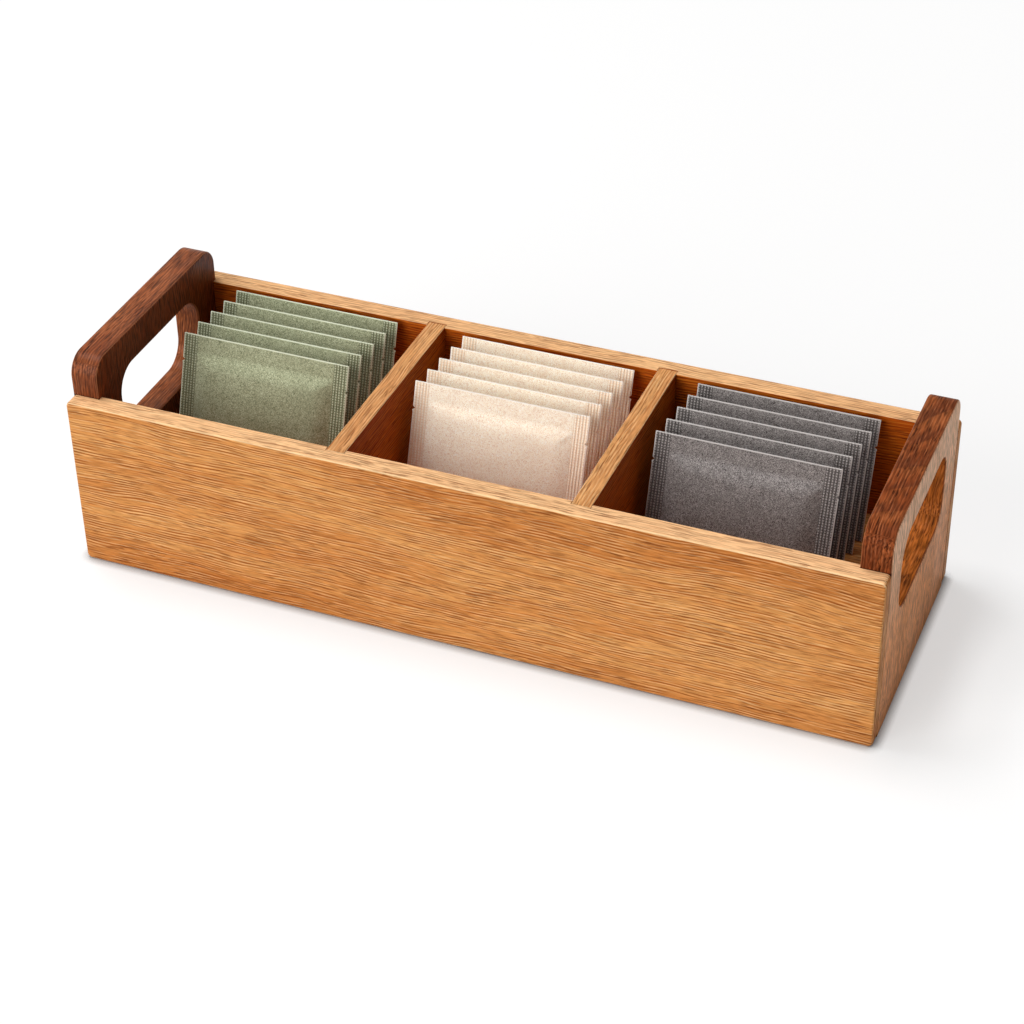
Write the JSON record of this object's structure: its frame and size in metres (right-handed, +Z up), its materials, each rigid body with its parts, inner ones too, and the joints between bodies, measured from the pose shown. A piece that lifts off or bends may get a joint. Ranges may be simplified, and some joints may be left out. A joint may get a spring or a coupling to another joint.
{
  "type": "tea sachet organiser",
  "caption": "Open-topped wooden box with lift-out dividers, hand holes in its raised ends and rows of leaning paper tea sachets.",
  "frame": {"origin": "centre of the footprint, on the surface the box stands on", "axes": "+X along the length, -Y to the front panel, +Z up"},
  "size_m": [0.34, 0.115, 0.095],
  "materials": {
    "oak": "satin oiled oak",
    "walnut": "satin oiled walnut",
    "green_paper": "matt kraft paper, muted green",
    "cream_paper": "matt kraft paper, cream",
    "charcoal_paper": "matt kraft paper, charcoal grey"
  },
  "bodies": {
    "box": {"front_panel": "oak", "back_panel": "oak", "left_end": "walnut", "right_end": "walnut", "floor_board": "oak"},
    "divider_left": {"divider_left": "oak"},
    "divider_right": {"divider_right": "oak"},
    "green_sachet_1": {"green_sachet_1": "green_paper"},
    "green_sachet_2": {"green_sachet_2": "green_paper"},
    "green_sachet_3": {"green_sachet_3": "green_paper"},
    "green_sachet_4": {"green_sachet_4": "green_paper"},
    "green_sachet_5": {"green_sachet_5": "green_paper"},
    "cream_sachet_1": {"cream_sachet_1": "cream_paper"},
    "cream_sachet_2": {"cream_sachet_2": "cream_paper"},
    "cream_sachet_3": {"cream_sachet_3": "cream_paper"},
    "cream_sachet_4": {"cream_sachet_4": "cream_paper"},
    "cream_sachet_5": {"cream_sachet_5": "cream_paper"},
    "charcoal_sachet_1": {"charcoal_sachet_1": "charcoal_paper"},
    "charcoal_sachet_2": {"charcoal_sachet_2": "charcoal_paper"},
    "charcoal_sachet_3": {"charcoal_sachet_3": "charcoal_paper"},
    "charcoal_sachet_4": {"charcoal_sachet_4": "charcoal_paper"},
    "charcoal_sachet_5": {"charcoal_sachet_5": "charcoal_paper"}
  },
  "joints": [
    {"name": "divider_left_lift", "type": "slide", "parent": "box", "child": "divider_left", "axis": [0, 0, 1], "range_m": [0, 0.06]},
    {"name": "divider_right_lift", "type": "slide", "parent": "box", "child": "divider_right", "axis": [0, 0, 1], "range_m": [0, 0.06]},
    {"name": "green_sachet_1_lift", "type": "slide", "parent": "box", "child": "green_sachet_1", "axis": [0, 0.3256, 0.9455], "range_m": [0, 0.055]},
    {"name": "green_sachet_2_lift", "type": "slide", "parent": "box", "child": "green_sachet_2", "axis": [0, 0.3256, 0.9455], "range_m": [0, 0.055]},
    {"name": "green_sachet_3_lift", "type": "slide", "parent": "box", "child": "green_sachet_3", "axis": [0, 0.3256, 0.9455], "range_m": [0, 0.055]},
    {"name": "green_sachet_4_lift", "type": "slide", "parent": "box", "child": "green_sachet_4", "axis": [0, 0.3256, 0.9455], "range_m": [0, 0.055]},
    {"name": "green_sachet_5_lift", "type": "slide", "parent": "box", "child": "green_sachet_5", "axis": [0, 0.3256, 0.9455], "range_m": [0, 0.055]},
    {"name": "cream_sachet_1_lift", "type": "slide", "parent": "box", "child": "cream_sachet_1", "axis": [0, 0.3256, 0.9455], "range_m": [0, 0.055]},
    {"name": "cream_sachet_2_lift", "type": "slide", "parent": "box", "child": "cream_sachet_2", "axis": [0, 0.3256, 0.9455], "range_m": [0, 0.055]},
    {"name": "cream_sachet_3_lift", "type": "slide", "parent": "box", "child": "cream_sachet_3", "axis": [0, 0.3256, 0.9455], "range_m": [0, 0.055]},
    {"name": "cream_sachet_4_lift", "type": "slide", "parent": "box", "child": "cream_sachet_4", "axis": [0, 0.3256, 0.9455], "range_m": [0, 0.055]},
    {"name": "cream_sachet_5_lift", "type": "slide", "parent": "box", "child": "cream_sachet_5", "axis": [0, 0.3256, 0.9455], "range_m": [0, 0.055]},
    {"name": "charcoal_sachet_1_lift", "type": "slide", "parent": "box", "child": "charcoal_sachet_1", "axis": [0, 0.3256, 0.9455], "range_m": [0, 0.055]},
    {"name": "charcoal_sachet_2_lift", "type": "slide", "parent": "box", "child": "charcoal_sachet_2", "axis": [0, 0.3256, 0.9455], "range_m": [0, 0.055]},
    {"name": "charcoal_sachet_3_lift", "type": "slide", "parent": "box", "child": "charcoal_sachet_3", "axis": [0, 0.3256, 0.9455], "range_m": [0, 0.055]},
    {"name": "charcoal_sachet_4_lift", "type": "slide", "parent": "box", "child": "charcoal_sachet_4", "axis": [0, 0.3256, 0.9455], "range_m": [0, 0.055]},
    {"name": "charcoal_sachet_5_lift", "type": "slide", "parent": "box", "child": "charcoal_sachet_5", "axis": [0, 0.3256, 0.9455], "range_m": [0, 0.055]}
  ]
}
